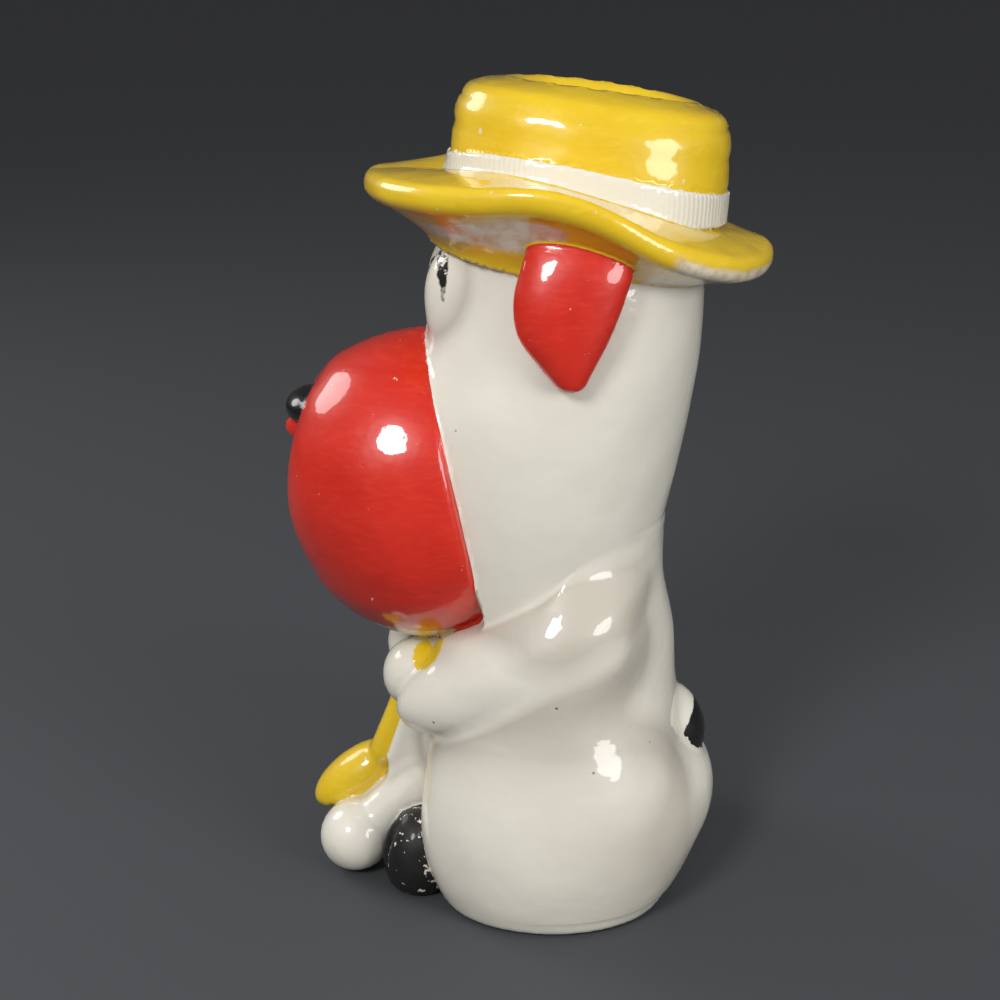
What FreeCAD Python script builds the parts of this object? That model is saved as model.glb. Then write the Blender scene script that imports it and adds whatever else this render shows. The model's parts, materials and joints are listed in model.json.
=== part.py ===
import FreeCAD, Part
import math
import os

# A seated novelty dog with a golf club, cast hollow in plaster and painted.
# Each node is one sculpted form of the casting, bounded by its paint line or crease.
# Millimetres. The dog faces -Y, its left side is +X, and +Z is up.

os.makedirs("parts", exist_ok=True)
doc = FreeCAD.newDocument("Figure")
sheet = doc.addObject("Spreadsheet::Sheet", "Sizes")

UP = FreeCAD.Vector(0, 0, 1)
ACROSS = FreeCAD.Vector(1, 0, 0)
LEFT = 1
RIGHT = -1
SIDES = (("left", LEFT), ("right", RIGHT))

# Sizes of the round forms: place of the middle, then full width, depth and height
OVALS = {
    "nose": dict(x=0, y=-69.5, z=172.6, wide=26, deep=20, tall=13),
    "lip": dict(x=0, y=-71, z=162.5, wide=14, deep=20, tall=20),
    "eye": dict(x=13, y=-18, z=213, wide=25, deep=27, tall=36),
    "haunch": dict(y=10, z=31, wide=62, deep=89, tall=102),
    "hand": dict(x=13.3, y=-34.8, z=79.5, wide=26.5, deep=26.5, tall=26),
    "paw": dict(x=22, y=-36, z=12, wide=26, deep=26, tall=35),
    "ball": dict(x=10, y=-59.8, z=12.8, wide=25.6, deep=25.6, tall=25.6),
    "tail": dict(x=0, y=54, z=54, wide=27, deep=24, tall=32),
    "dent": dict(x=0, y=2, z=42, wide=32, deep=62, tall=28),
    "pinch": dict(x=42, y=-24, z=24, wide=14, deep=30, tall=26),
    "club": dict(x=-4.5, y=-60.5, z=30.5, wide=20, deep=37, tall=16),
}

# Rings of the lofted forms, from the lowest up: middle, full width and full depth
RINGS = {
    "torso": dict(
        foot=dict(y=15, z=0, wide=72, deep=70),
        sole=dict(y=16, z=2.5, wide=82, deep=79),
        rim=dict(y=17, z=7, wide=92, deep=87),
        seat=dict(y=18.6, z=20, wide=106, deep=98),
        hip=dict(y=19, z=38, wide=110, deep=100.5),
        waist=dict(y=11.5, z=56, wide=104, deep=93),
        belly=dict(y=9.7, z=74, wide=98, deep=91),
        chest=dict(y=10.5, z=94, wide=88, deep=86),
        neck=dict(y=12, z=114, wide=78, deep=74),
        nape=dict(y=14, z=134, wide=68, deep=64)),
    "muzzle": dict(
        under=dict(y=-34, z=91, wide=8, deep=8, cleft=0),
        chin=dict(y=-33, z=94, wide=28, deep=26, cleft=0),
        lower=dict(y=-32, z=101, wide=52, deep=53, cleft=0.03),
        flews=dict(y=-32, z=110.5, wide=72, deep=73, cleft=0.07),
        cheeks=dict(y=-32, z=123, wide=86, deep=87.5, cleft=0.09),
        full=dict(y=-32.5, z=140, wide=93, deep=98, cleft=0.1),
        upper=dict(y=-32.5, z=156, wide=92, deep=97.5, cleft=0.1),
        lip=dict(y=-32, z=170, wide=84, deep=90.5, cleft=0.07),
        seat=dict(y=-32, z=182, wide=68, deep=76, cleft=0.02),
        slope=dict(y=-32, z=190.5, wide=48, deep=56, cleft=0),
        top=dict(y=-32, z=196.5, wide=25, deep=28, cleft=0),
        ridge=dict(y=-32, z=198.8, wide=8, deep=9, cleft=0)),
    "skull": dict(
        chin=dict(y=0, z=90, wide=62, deep=78),
        jaw=dict(y=0, z=112, wide=77, deep=92),
        cheek=dict(y=0.5, z=135, wide=88, deep=97),
        face=dict(y=1.5, z=155, wide=93, deep=103),
        temple=dict(y=5, z=175, wide=94.5, deep=103),
        brow=dict(y=12.5, z=195, wide=92, deep=93),
        forehead=dict(y=16.5, z=212, wide=88, deep=86),
        top=dict(y=19, z=238, wide=80, deep=80)),
    "crown": dict(
        foot=dict(y=0, z=0, wide=78, deep=92),
        sweat=dict(y=0.4, z=8, wide=77, deep=90),
        wall=dict(y=0, z=18, wide=75, deep=88.4),
        upper=dict(y=-0.3, z=27, wide=72, deep=86),
        shoulder=dict(y=0, z=32.5, wide=66, deep=77),
        top=dict(y=0.5, z=36, wide=52, deep=56)),
    "ear": dict(
        root=dict(y=16, z=240, x=42, wide=12, deep=26),
        neck=dict(y=16, z=230, x=46.5, wide=14, deep=33),
        full=dict(y=13.4, z=219, x=48.5, wide=15.5, deep=33.2),
        low=dict(y=12.1, z=207, x=49.5, wide=14, deep=26.8),
        point=dict(y=13.3, z=197.7, x=50, wide=10, deep=15.2),
        tip=dict(y=14.5, z=191, x=50.5, wide=4.5, deep=6)),
    "arm": dict(
        wrist=dict(y=0, z=-41, wide=7.5, deep=7.5),
        cuff=dict(y=0, z=-36, wide=17.8, deep=17.8),
        fore=dict(y=0, z=-25, wide=27.7, deep=27.7),
        mid=dict(y=0, z=-12, wide=33, deep=33),
        elbow=dict(y=0, z=0, wide=34.5, deep=34.5),
        upper=dict(y=0, z=12, wide=33, deep=33),
        shoulder=dict(y=0, z=25, wide=27.7, deep=27.7),
        root=dict(y=0, z=36, wide=17.8, deep=17.8)),
}

# Other driving sizes
SIZES = dict(
    wall_thick=7, pour_hole_wide=36, pour_hole_y=19, haunch_proud=9,
    seam_y=-31.5, seam_z=199, seam_lean=11.9,
    neck_y=-13, neck_z=101.6, neck_lean=23.4,
    brim_y=14.8, brim_z=235.2, brim_lean=-10.07,
    crown_y=19.45, crown_z=242.2, crown_lean=-7.6,
    reach=400,
    brim_wide=124, brim_deep=134, brim_roll=15.5, brim_sag=3, brim_lift=1.5,
    brim_foot_rise=7, brim_edge=4.2, brim_root_y=3.6, brim_root_wide=80, brim_root_deep=88, brim_root_drop=13.5,
    band_thick=2.4, band_tall=8,
    arm_x=31.5, arm_y=-5, arm_z=87.5, hand_yaw=45, arm_yaw=12, arm_pitch=64, club_lean=38, tail_lean=24,
    grip_top_x=1, grip_top_y=-29, grip_top_z=89,
    shaft_top_x=0, shaft_top_y=-40, shaft_top_z=63, shaft_low_y=-48, shaft_low_z=43,
    grip_wide=12, shaft_wide=12.6,
    web_wide=13, web_back=-18, web_low=16, heel_y=-45, heel_z=24,
    link_x=6, link_y=-36, link_z=33, link_wide=17,
)


def set_cell(alias, value):
    """Writes one named number into the next row of the sheet."""
    row = set_cell.row = getattr(set_cell, "row", 0) + 1
    sheet.set("A%d" % row, alias)
    sheet.set("B%d" % row, str(value))
    sheet.setAlias("B%d" % row, alias)


def fill_sheet():
    """Puts every driving size into the sheet."""
    for name, sizes in OVALS.items():
        for word, value in sizes.items():
            set_cell("%s_%s" % (name, word), value)
    for name, rings in RINGS.items():
        for ring, sizes in rings.items():
            for word, value in sizes.items():
                set_cell("%s_%s_%s" % (name, ring, word), value)
    for name, value in SIZES.items():
        set_cell(name, value)
    doc.recompute()


def size(alias):
    """The number that the sheet holds under this name."""
    return float(sheet.get(alias))


def oval(name, key, side=LEFT, turn=FreeCAD.Rotation(), frame=FreeCAD.Placement(), aside=None):
    """An ellipsoid whose sizes are bound to the sheet, mirrored where it is on the right."""
    if aside is None:
        aside = size(key + "_x")
    form = doc.addObject("Part::Ellipsoid", name)
    form.setExpression("Radius1", "Sizes.%s_tall / 2" % key)
    form.setExpression("Radius2", "Sizes.%s_wide / 2" % key)
    form.setExpression("Radius3", "Sizes.%s_deep / 2" % key)
    middle = FreeCAD.Vector(side * aside, size(key + "_y"), size(key + "_z"))
    if side == RIGHT:
        turn = turn * FreeCAD.Rotation(UP, 180)
    form.Placement = frame.multiply(FreeCAD.Placement(middle, turn))
    return form


def feature(name, shape, placement=FreeCAD.Placement()):
    """A form that Part's own functions have shaped, placed after its shape is set."""
    form = doc.addObject("Part::Feature", name)
    form.Shape = shape
    form.Placement = placement
    return form


def cut(name, base, *tools):
    """The base with each tool taken out of it in turn."""
    for number, tool in enumerate(tools, 1):
        last = number == len(tools)
        piece = doc.addObject("Part::Cut", name if last else "%s_cut_%d" % (name, number))
        piece.Base = base
        piece.Tool = tool
        piece.Refine = False
        base = piece
    return base


def common(name, *forms):
    """What the forms share."""
    piece = doc.addObject("Part::MultiCommon", name)
    piece.Shapes = list(forms)
    piece.Refine = False
    return piece


RING_COUNT = 16
CLEFT_COUNT = 24
CLEFT_SPREAD = 0.22
CROWN_SQUARE = 0.92


def closed_curve(points):
    """A smooth closed wire through the points."""
    curve = Part.BSplineCurve()
    curve.interpolate(points, PeriodicFlag=True)
    return Part.Wire([curve.toShape()])


def oval_wire(middle, wide, deep, square=1.0, roll=0, sag=0, cleft=0):
    """An oval, squarer than an ellipse where square is under one.

    Roll raises both its sides, sag lets its right front corner hang, and cleft is the
    share of its depth that a groove takes from the middle of its front.
    """
    points = []
    count = CLEFT_COUNT if cleft else RING_COUNT
    for step in range(count):
        angle = 2 * math.pi * step / count
        across = math.copysign(abs(math.cos(angle)) ** square, math.cos(angle))
        along = math.copysign(abs(math.sin(angle)) ** square, math.sin(angle))
        rise = roll * math.cos(angle) ** 4
        if math.cos(angle) < 0 and math.sin(angle) < 0:
            corner = math.sin(2 * angle) ** 2
            rise = rise * (1 - corner) - sag * corner
        groove = 1 - 2 * cleft * math.exp(-(math.cos(angle) / CLEFT_SPREAD) ** 2)
        if along < 0:
            along *= groove
        points.append(middle + FreeCAD.Vector(across * wide / 2, along * deep / 2, rise))
    return closed_curve(points)


def ring_loft(key, side=LEFT, inset=0, square=1.0):
    """A smooth loft through the sheet's rings of this form, drawn in by an even wall."""
    wires = []
    for ring, sizes in RINGS[key].items():
        stem = "%s_%s" % (key, ring)
        aside = side * size(stem + "_x") if "x" in sizes else 0
        middle = FreeCAD.Vector(aside, size(stem + "_y"), size(stem + "_z"))
        cleft = size(stem + "_cleft") if "cleft" in sizes else 0
        wires.append(oval_wire(middle, size(stem + "_wide") - 2 * inset,
                               size(stem + "_deep") - 2 * inset, square, cleft=cleft))
    return Part.makeLoft(wires, True, False)


def leaning_frame(key):
    """The frame at KEY_y and KEY_z that leans about the X axis by KEY_lean."""
    place = FreeCAD.Vector(0, size(key + "_y"), size(key + "_z"))
    return FreeCAD.Placement(place, FreeCAD.Rotation(ACROSS, size(key + "_lean")))


def block(name, frame, low_shares):
    """A great cube that ends at a plane of the frame, its low corner in shares of its side."""
    cube = doc.addObject("Part::Box", name)
    for side in ("Length", "Width", "Height"):
        cube.setExpression(side, "Sizes.reach")
    corner = FreeCAD.Vector(*[share * size("reach") for share in low_shares])
    cube.Placement = frame.multiply(FreeCAD.Placement(corner, FreeCAD.Rotation()))
    return cube


def rod(name, low, high, wide):
    """A round bar from one point to another."""
    return feature(name, Part.makeCylinder(wide / 2, (high - low).Length, low, high - low))


def point(x, y, z):
    """A point whose three numbers are named in the sheet, or zero."""
    return FreeCAD.Vector(*[size(word) if word else 0 for word in (x, y, z)])


def make_hat(pieces):
    """The turned-up brim, the ribbon and the creased crown, sitting tilted back."""
    brim_frame = leaning_frame("brim")
    crown_frame = leaning_frame("crown")
    edge = size("brim_edge")
    root = FreeCAD.Vector(0, size("brim_root_y"), -size("brim_root_drop"))
    wires = [oval_wire(root, size("brim_root_wide"), size("brim_root_deep"))]
    under_rise_share = 0.55
    over_rise_share = 0.31
    reach_shares = [0.79, 1, 1, 1, 1, 1, 0.825]
    rise_shares = [under_rise_share, 1, 1, 1, 1, 1, over_rise_share]
    edge_level_shares = [-0.75, -0.75, -0.4, 0.2, 0.6, 0.75, 0.75]
    edge_inset_shares = [0, 1.8, 0.4, 0, 0.6, 2.0, 0]
    starts = [root, root] + [FreeCAD.Vector(0, 0, size("brim_foot_rise"))] * 5
    for reach, share, level, inset, start in zip(reach_shares, rise_shares, edge_level_shares,
                                                 edge_inset_shares, starts):
        rim = FreeCAD.Vector(0, 0, size("brim_lift") + level * edge)
        middle = start * (1 - share) + rim * share
        wires.append(oval_wire(middle, reach * size("brim_wide") - inset * edge,
                               reach * size("brim_deep") - inset * edge,
                               roll=share * size("brim_roll"), sag=share * size("brim_sag")))
    band_foot = oval_wire(FreeCAD.Vector(0, 0, 0), size("crown_foot_wide") + size("band_thick"),
                          size("crown_foot_deep") + size("band_thick"), CROWN_SQUARE)
    band_foot.Placement = brim_frame.inverse().multiply(crown_frame)
    wires.append(band_foot)
    pieces["hat_brim"] = feature("hat_brim", Part.makeLoft(wires, True, True), brim_frame)

    rings = []
    for grow in (size("band_thick"), -2 * size("band_thick")):
        ends = [oval_wire(FreeCAD.Vector(0, size(ring + "_y"), level),
                          size(ring + "_wide") + grow, size(ring + "_deep") + grow,
                          CROWN_SQUARE)
                for ring, level in (("crown_foot", 0), ("crown_sweat", size("band_tall")))]
        rings.append(Part.makeLoft(ends, True, True))
    pieces["hat_band"] = feature("hat_band", rings[0].cut(rings[1]), crown_frame)

    dents = [oval("dent_form", "dent", frame=crown_frame)]
    dents += [oval("pinch_form_" + word, "pinch", side, frame=crown_frame)
              for word, side in SIDES]
    crown = feature("crown_form", ring_loft("crown", square=CROWN_SQUARE), crown_frame)
    pieces["hat_crown"] = cut("hat_crown", crown, pieces["hat_band"], *dents)


def make_head(pieces):
    """The muzzle and nose, the skull behind their seam, the eyes and the ears."""
    seam = leaning_frame("seam")
    before_seam = block("before_seam", seam, (-0.5, -1, -0.5))
    behind_seam = block("behind_seam", seam, (-0.5, 0, -0.5))
    above_neck = block("above_neck", leaning_frame("neck"), (-0.5, -0.5, 0))
    root = FreeCAD.Placement(FreeCAD.Vector(0, 0, -size("brim_root_drop")), FreeCAD.Rotation())
    under_hat = block("under_hat", leaning_frame("brim").multiply(root), (-0.5, -0.5, -1))

    pieces["nose"] = oval("nose", "nose")
    snout = feature("snout", ring_loft("muzzle"))
    pieces["muzzle"] = cut("muzzle", common("snout_front", snout, before_seam), pieces["nose"])
    pieces["lip"] = cut("lip", oval("lip_form", "lip"), pieces["nose"], pieces["muzzle"])

    skull = feature("skull_form", ring_loft("skull"))
    features = []
    for word, side in SIDES:
        eye = cut("eye_" + word, oval("eye_form_" + word, "eye", side), pieces["muzzle"],
                  pieces["hat_brim"])
        ear_form = feature("ear_form_" + word, ring_loft("ear", side))
        ear = cut("ear_" + word, ear_form, pieces["hat_brim"])
        pieces[eye.Name] = eye
        pieces[ear.Name] = ear
        features += [eye, ear]
    head = common("skull_behind", skull, behind_seam, above_neck, under_hat)
    pieces["head_shell"] = cut("head_shell", head, *features)


def make_body(pieces):
    """The seated trunk and everything below the jaw."""
    below_neck = block("below_neck", leaning_frame("neck"), (-0.5, -0.5, -1))
    above_floor = block("above_floor", FreeCAD.Placement(), (-0.5, -0.5, 0))
    grip_top = point("grip_top_x", "grip_top_y", "grip_top_z")
    shaft_top = point("shaft_top_x", "shaft_top_y", "shaft_top_z")
    shaft_low = point("shaft_top_x", "shaft_low_y", "shaft_low_z")
    grip = rod("grip_form", shaft_top, grip_top, size("grip_wide"))
    shaft = rod("shaft_form", shaft_low, shaft_top, size("shaft_wide"))
    club_turn = FreeCAD.Rotation(ACROSS, size("club_lean"))
    pieces["ball"] = oval("ball", "ball")
    pieces["club_head"] = oval("club_head", "club", turn=club_turn)
    torso = feature("torso_form", ring_loft("torso"))
    trunk_low = cut("trunk_low", common("trunk_whole", torso, below_neck), pieces["muzzle"])
    pieces["club_shaft"] = cut("club_shaft", shaft, pieces["club_head"], trunk_low)
    pieces["club_grip"] = cut("club_grip", grip, pieces["club_shaft"], trunk_low,
                              pieces["muzzle"])
    for word, side in SIDES:
        turn = FreeCAD.Rotation(side * -size("arm_yaw"), 0, -size("arm_pitch"))
        hand_turn = FreeCAD.Rotation(UP, -side * size("hand_yaw"))
        hand_form = oval("hand_form_" + word, "hand", side, hand_turn)
        if side == RIGHT:
            turn = turn * FreeCAD.Rotation(UP, 180)
        elbow = FreeCAD.Vector(side * size("arm_x"), size("arm_y"), size("arm_z"))
        arm_form = feature("arm_form_" + word, ring_loft("arm"), FreeCAD.Placement(elbow, turn))
        paw_form = oval("paw_form_" + word, "paw", side)
        hand = cut("hand_" + word, hand_form, trunk_low, pieces["club_grip"],
                   pieces["club_shaft"])
        arm_low = common("arm_low_" + word, arm_form, below_neck)
        arm = cut("arm_" + word, arm_low, trunk_low, hand_form, pieces["muzzle"])
        haunch_reach = size("torso_seat_wide") / 2 + size("haunch_proud")
        haunch_form = oval("haunch_form_" + word, "haunch", side,
                           aside=haunch_reach - size("haunch_wide") / 2)
        haunch = cut("haunch_" + word, common("haunch_low_" + word, haunch_form, above_floor),
                     trunk_low, arm_form)
        paw = cut("paw_" + word, common("paw_whole_" + word, paw_form, above_floor), trunk_low,
                  haunch_form)
        for piece in (hand, arm, haunch, paw):
            pieces[piece.Name] = piece
    tail_turn = FreeCAD.Rotation(ACROSS, size("tail_lean"))
    pieces["tail"] = cut("tail", oval("tail_form", "tail", turn=tail_turn), trunk_low)

    hollow = feature("hollow_form", ring_loft("torso", inset=size("wall_thick")))
    lifted = FreeCAD.Placement(FreeCAD.Vector(0, 0, size("wall_thick")), FreeCAD.Rotation())
    hollow_low = common("hollow_low", hollow, block("above_base", lifted, (-0.5, -0.5, 0)))
    hole_low = point(None, "pour_hole_y", None)
    hole = rod("pour_hole", hole_low, hole_low + UP * 2 * size("wall_thick"),
               size("pour_hole_wide"))
    pieces["body_shell"] = cut("body_shell", trunk_low, hollow_low, hole)

    side_profile = [("shaft_top_y", "shaft_top_z"), ("shaft_low_y", "shaft_low_z"),
                    ("heel_y", "heel_z"), ("web_back", "web_low"), ("web_back", "shaft_top_z")]
    corners = [point(None, y, z) - ACROSS * size("web_wide") / 2 for y, z in side_profile]
    web_face = Part.Face(Part.makePolygon(corners + corners[:1]))
    web_form = feature("web_form", web_face.extrude(ACROSS * size("web_wide")))
    pieces["club_web"] = cut("club_web", web_form, trunk_low, pieces["club_shaft"],
                             pieces["club_head"], pieces["club_grip"],
                             *[pieces["hand_" + word] for word, side in SIDES])
    link = rod("link_form", point("ball_x", "ball_y", "ball_z"),
               point("link_x", "link_y", "link_z"), size("link_wide"))
    pieces["ball_bridge"] = cut("ball_bridge", link, pieces["ball"], pieces["club_head"],
                                pieces["club_web"], trunk_low, pieces["club_shaft"],
                                pieces["paw_left"])


def check(pieces):
    """Stops the build where an object failed or a piece is no single sound solid."""
    for thing in doc.Objects:
        if "Invalid" in thing.State or "Error" in thing.State:
            raise RuntimeError("%s did not build: %s" % (thing.Name, thing.State))
    for name, piece in pieces.items():
        shape = piece.Shape
        if shape.isNull() or not shape.isValid():
            raise RuntimeError("%s has no sound shape" % name)
        if len(shape.Solids) != 1:
            raise RuntimeError("%s came out in %d solids" % (name, len(shape.Solids)))


fill_sheet()
made = {}
make_hat(made)
make_head(made)
make_body(made)
doc.recompute()
check(made)
for node, piece in made.items():
    piece.Label = node
    piece.Shape.exportStep("parts/%s.step" % node)
whole = Part.makeCompound([piece.Shape for piece in made.values()]).optimalBoundingBox()
print("x %.2f %.2f y %.2f %.2f z %.2f %.2f" % (whole.XMin, whole.XMax, whole.YMin, whole.YMax,
                                              whole.ZMin, whole.ZMax))
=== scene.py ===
import json
import math

import bpy
import numpy as np
from mathutils import Matrix, Vector


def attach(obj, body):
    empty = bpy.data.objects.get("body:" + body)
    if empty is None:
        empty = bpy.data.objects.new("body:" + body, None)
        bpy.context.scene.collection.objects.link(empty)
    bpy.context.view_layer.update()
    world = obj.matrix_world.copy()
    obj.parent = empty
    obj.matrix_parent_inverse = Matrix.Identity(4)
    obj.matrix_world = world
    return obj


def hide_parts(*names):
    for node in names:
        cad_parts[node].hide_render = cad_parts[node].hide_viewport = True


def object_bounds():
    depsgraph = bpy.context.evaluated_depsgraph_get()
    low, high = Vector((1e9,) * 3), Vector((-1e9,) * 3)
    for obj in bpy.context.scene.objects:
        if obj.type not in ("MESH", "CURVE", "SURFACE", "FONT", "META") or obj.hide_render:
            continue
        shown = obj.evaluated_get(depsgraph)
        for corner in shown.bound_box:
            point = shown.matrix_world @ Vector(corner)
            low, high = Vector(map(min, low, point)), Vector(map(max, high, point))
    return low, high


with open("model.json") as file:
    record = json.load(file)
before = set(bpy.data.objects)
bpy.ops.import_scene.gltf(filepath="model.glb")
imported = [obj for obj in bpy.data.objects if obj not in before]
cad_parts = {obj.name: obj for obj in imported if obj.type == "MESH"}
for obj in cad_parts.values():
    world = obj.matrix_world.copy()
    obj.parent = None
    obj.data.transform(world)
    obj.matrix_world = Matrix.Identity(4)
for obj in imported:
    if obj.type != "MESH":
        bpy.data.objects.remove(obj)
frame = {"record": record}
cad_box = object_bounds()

# A hollow plaster dog with a golf club, brushed with enamel and lacquered.
# The casting is described in millimetres as one soft field of distances, and each node
# is the stretch of its skin that lies nearest to that node's own form.

MM = 0.001
LEFT = 1
RIGHT = -1
SIDES = (("left", LEFT), ("right", RIGHT))

# The spacing of the lattice on which the skin is found, and the thickness of its pieces
CELL = 1.3
SKIN = 1.2

# A distance that no form reaches, and the least length to divide by
FAR = 1000.0
TINY = 1e-6

# Round forms: middle, then full width, depth and height, and how far they turn in degrees
# about Z, mirrored on the right, and about X
OVALS = {
    "nose": dict(x=0, y=-69.5, z=172.6, wide=26, deep=20, tall=13),
    "lip": dict(x=0, y=-69.8, z=165.5, wide=12, deep=20, tall=12),
    "eye": dict(x=13, y=-18, z=213, wide=25, deep=27, tall=36),
    "haunch": dict(x=30.8, y=10, z=31, wide=61.2, deep=89, tall=102),
    "arm": dict(x=31.5, y=-5, z=87.5, wide=34.5, deep=34.5, tall=84, yaw=-12, roll=-64),
    "hand": dict(x=13.3, y=-34.8, z=79.5, wide=26.5, deep=26.5, tall=26),
    "paw": dict(x=22, y=-36, z=12, wide=26, deep=26, tall=35),
    "ball": dict(x=10, y=-59.8, z=12.8, wide=25.6, deep=25.6, tall=25.6),
    "tail": dict(x=0, y=54, z=54, wide=27, deep=24, tall=32, yaw=0, roll=24),
    "club": dict(x=-4.5, y=-60.5, z=30.5, wide=20, deep=37, tall=16, yaw=0, roll=38),
    "dent": dict(x=0, y=2, z=42, wide=32, deep=62, tall=28),
    "pinch": dict(x=42, y=-24, z=24, wide=14, deep=30, tall=26),
}

# Lofted forms: level, middle, full width, full depth and what else the form has there.
# Power says how square the rings are, and edge how softly both ends are rounded.
TORSO = dict(
    z=(0, 2.5, 7, 20, 38, 56, 74, 94, 114, 134),
    y=(15, 16, 17, 18.6, 19, 11.5, 9.7, 10.5, 12.3, 15.2),
    wide=(72, 82, 92, 106, 110, 104, 98, 88, 78, 68),
    deep=(70, 79, 87, 98, 100.5, 93, 91, 86, 74.6, 66.4),
    power=2.0, edge=1.0)
SKULL = dict(
    z=(90, 112, 135, 155, 175, 195, 212, 238),
    y=(0, 0, 0.5, 1.5, 5, 12.5, 16.5, 19),
    wide=(62, 77, 88, 93, 94.5, 92, 88, 80),
    deep=(78, 92, 97, 103, 103, 93, 86, 80),
    power=2.0, edge=1.0)
MUZZLE = dict(
    z=(91, 94, 101, 110.5, 123, 140, 156, 170, 182, 190.5, 196.5, 198.8),
    y=(-34, -33, -32, -32, -32, -32.5, -32.5, -32, -32, -32, -32, -32),
    wide=(8, 28, 52, 72, 86, 93, 92, 84, 68, 48, 25, 8),
    deep=(8, 26, 53, 73, 87.5, 98, 97.5, 90.5, 76, 56, 28, 9),
    cleft=(0, 0, 0.03, 0.07, 0.09, 0.1, 0.1, 0.07, 0.02, 0, 0, 0),
    cleft_width_share=0.22, power=2.0, edge=1.0)
CROWN = dict(
    z=(0, 8, 18, 27, 32.5, 36),
    y=(0, 0.4, 0, -0.3, 0, 0.5),
    wide=(78, 77, 74.5, 70, 61, 46),
    deep=(92, 90, 88.4, 86, 77, 56),
    power=2.17, edge=5.0, press_edge=4.0)
EAR = dict(
    z=(191, 197.7, 207, 219, 230, 240),
    x=(50.5, 50, 49.5, 48.5, 46.5, 42),
    y=(14.5, 13.3, 12.1, 13.4, 16, 16),
    wide=(4.5, 10, 14, 15.5, 14, 12),
    deep=(6, 15.2, 26.8, 33.2, 33, 26),
    power=2.0, edge=3.0)

# Straight bars of plaster with round ends
RODS = {
    "club_grip": dict(low=(0, -40, 63), high=(1, -29, 89), radius=6.0),
    "club_shaft": dict(low=(0, -48, 43), high=(0, -40, 63), radius=6.3),
    "ball_bridge": dict(low=(10, -57, 15), high=(6, -36, 33), radius=8.5),
}

# The plaster left between the club and the belly, its outline given in Y and Z
WEB = dict(outline=((-40, 66), (-48, 43), (-45, 24), (-18, 16), (-18, 66)),
           half_thick=9.0, edge=3.0)

# Grooves between the toes: how far aside they are, and the Y and Z of their ends
TOES = dict(aside=(18, 26), low=(-50.5, 2), high=(-45.5, 27), radius=1.8, edge=2.5)

# Leaning frames: a point on the plane and its lean about the X axis in degrees
SEAM = dict(y=-31.5, z=199, lean=11.9)
NECK = dict(y=-13, z=101.6, lean=23.4)
BRIM = dict(y=14.8, z=235.2, lean=-10.07)
CROWN_SEAT = dict(y=19.45, z=242.2, lean=-7.6)

# How softly the muzzle ends at its seam, and the trunk and head at the neck under the jaw
SEAM_EDGE = 2.5
TRUNK_EDGE = 3
HEAD_EDGE = 8

# The neck's edges keep only this share of their softness at the nape, all of it in front
NAPE_SOFT_SHARE = 0.03
NAPE_SOFT_Y = 28
JAW_SOFT_Y = -20

# How far trunk and head run past the neck's plane at the nape, where they flow together
NAPE_OVERLAP = 14
OVERLAP_START_Y = 2
OVERLAP_FULL_Y = 30

# The hollow inside the trunk, and how softly its hole and the base are rounded
WALL = 7
POUR_HOLE = dict(y=19, radius=18, top=14, edge=1.5)
BASE_EDGE = 4

# The brim in its own frame, its curves given as powers of the way out from the band
BRIM_SIZES = dict(half_wide=62, half_deep=67, half_edge=3.15, foot=7, root_drop=13.5,
                  root_share=0.65, sag=3.0, out_limit=1.2, under_curve=0.65, over_curve=1.4,
                  fold_edge=2.5, rim_edge=3.0)

# Heights round the hat, at angles from its front through its side to its rear
ROUND = (-90, -65, -43, -31, -19, -9, 0, 10, 22, 48, 90)
RIM_HEIGHTS = (1.5, 2.8, 5.6, 8.2, 11.7, 13.2, 12.4, 9.2, 4.2, -0.3, 1.5)
BAND_FOOT = (1.8, 4.4, 7.2, 8.1, 8.2, 8.0, 7.4, 6.5, 5.3, 2.4, 0.3)
BAND_TOP = (8.8, 11.0, 13.2, 13.8, 13.9, 13.8, 13.3, 12.6, 11.7, 9.8, 8.6)
BAND = dict(proud=0.7, sunk=1, edge=0.8)

# The order in which the forms melt into the trunk, and how softly
MELTS = dict(
    haunch_left=12, haunch_right=12, tail=3, club_web=10, arm_left=4, arm_right=4,
    club_grip=1, club_shaft=1.5, hand_left=2.5, hand_right=2.5, club_head=3, ball_bridge=5,
    ball=2.5, paw_left=1.5, paw_right=1.5, head_shell=3, muzzle=2.0, eye_left=7, eye_right=7,
    lip=5, nose=1.2, ear_left=1.5, ear_right=1.5, hat_brim=1.5, hat_crown=2, hat_band=0.6)

# How much wider than that the arm's creases are filled, and where the fill fades in: by Y,
# and under the jaw also by height above the arm's own axis
SHOULDER_FILL = dict(fill=16, start_y=-20, full_y=18)
JAW_FILL = dict(fill=10, start_y=-42, full_y=-16, start_up=-4, full_up=12, axis_rise=0.49)

# How far the arms' white runs up onto the jaw
ARM_GAIN = 1.5

# Skin this close to the hollow is the inner face of the trunk's wall
HOLLOW_NEAR = 1.0


def melt(first, second, radius):
    """The union of two forms, their crease filled to about this radius."""
    reach = np.maximum(radius - np.abs(first - second), 0) / radius
    return np.minimum(first, second) - reach * reach * radius / 4


def trim(form, keep, radius):
    """The part of a form that lies inside another field, its edge rounded."""
    return -melt(-form, -keep, radius)


def ease(value, low, high):
    """A share that eases from 0 at low to 1 at high, either way round."""
    share = np.clip((value - low) / (high - low), 0, 1)
    return share * share * (3 - 2 * share)


def outside(value, low, high):
    """How far a value is outside a range, and below zero where it is inside."""
    return np.maximum(low - value, value - high)


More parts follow.
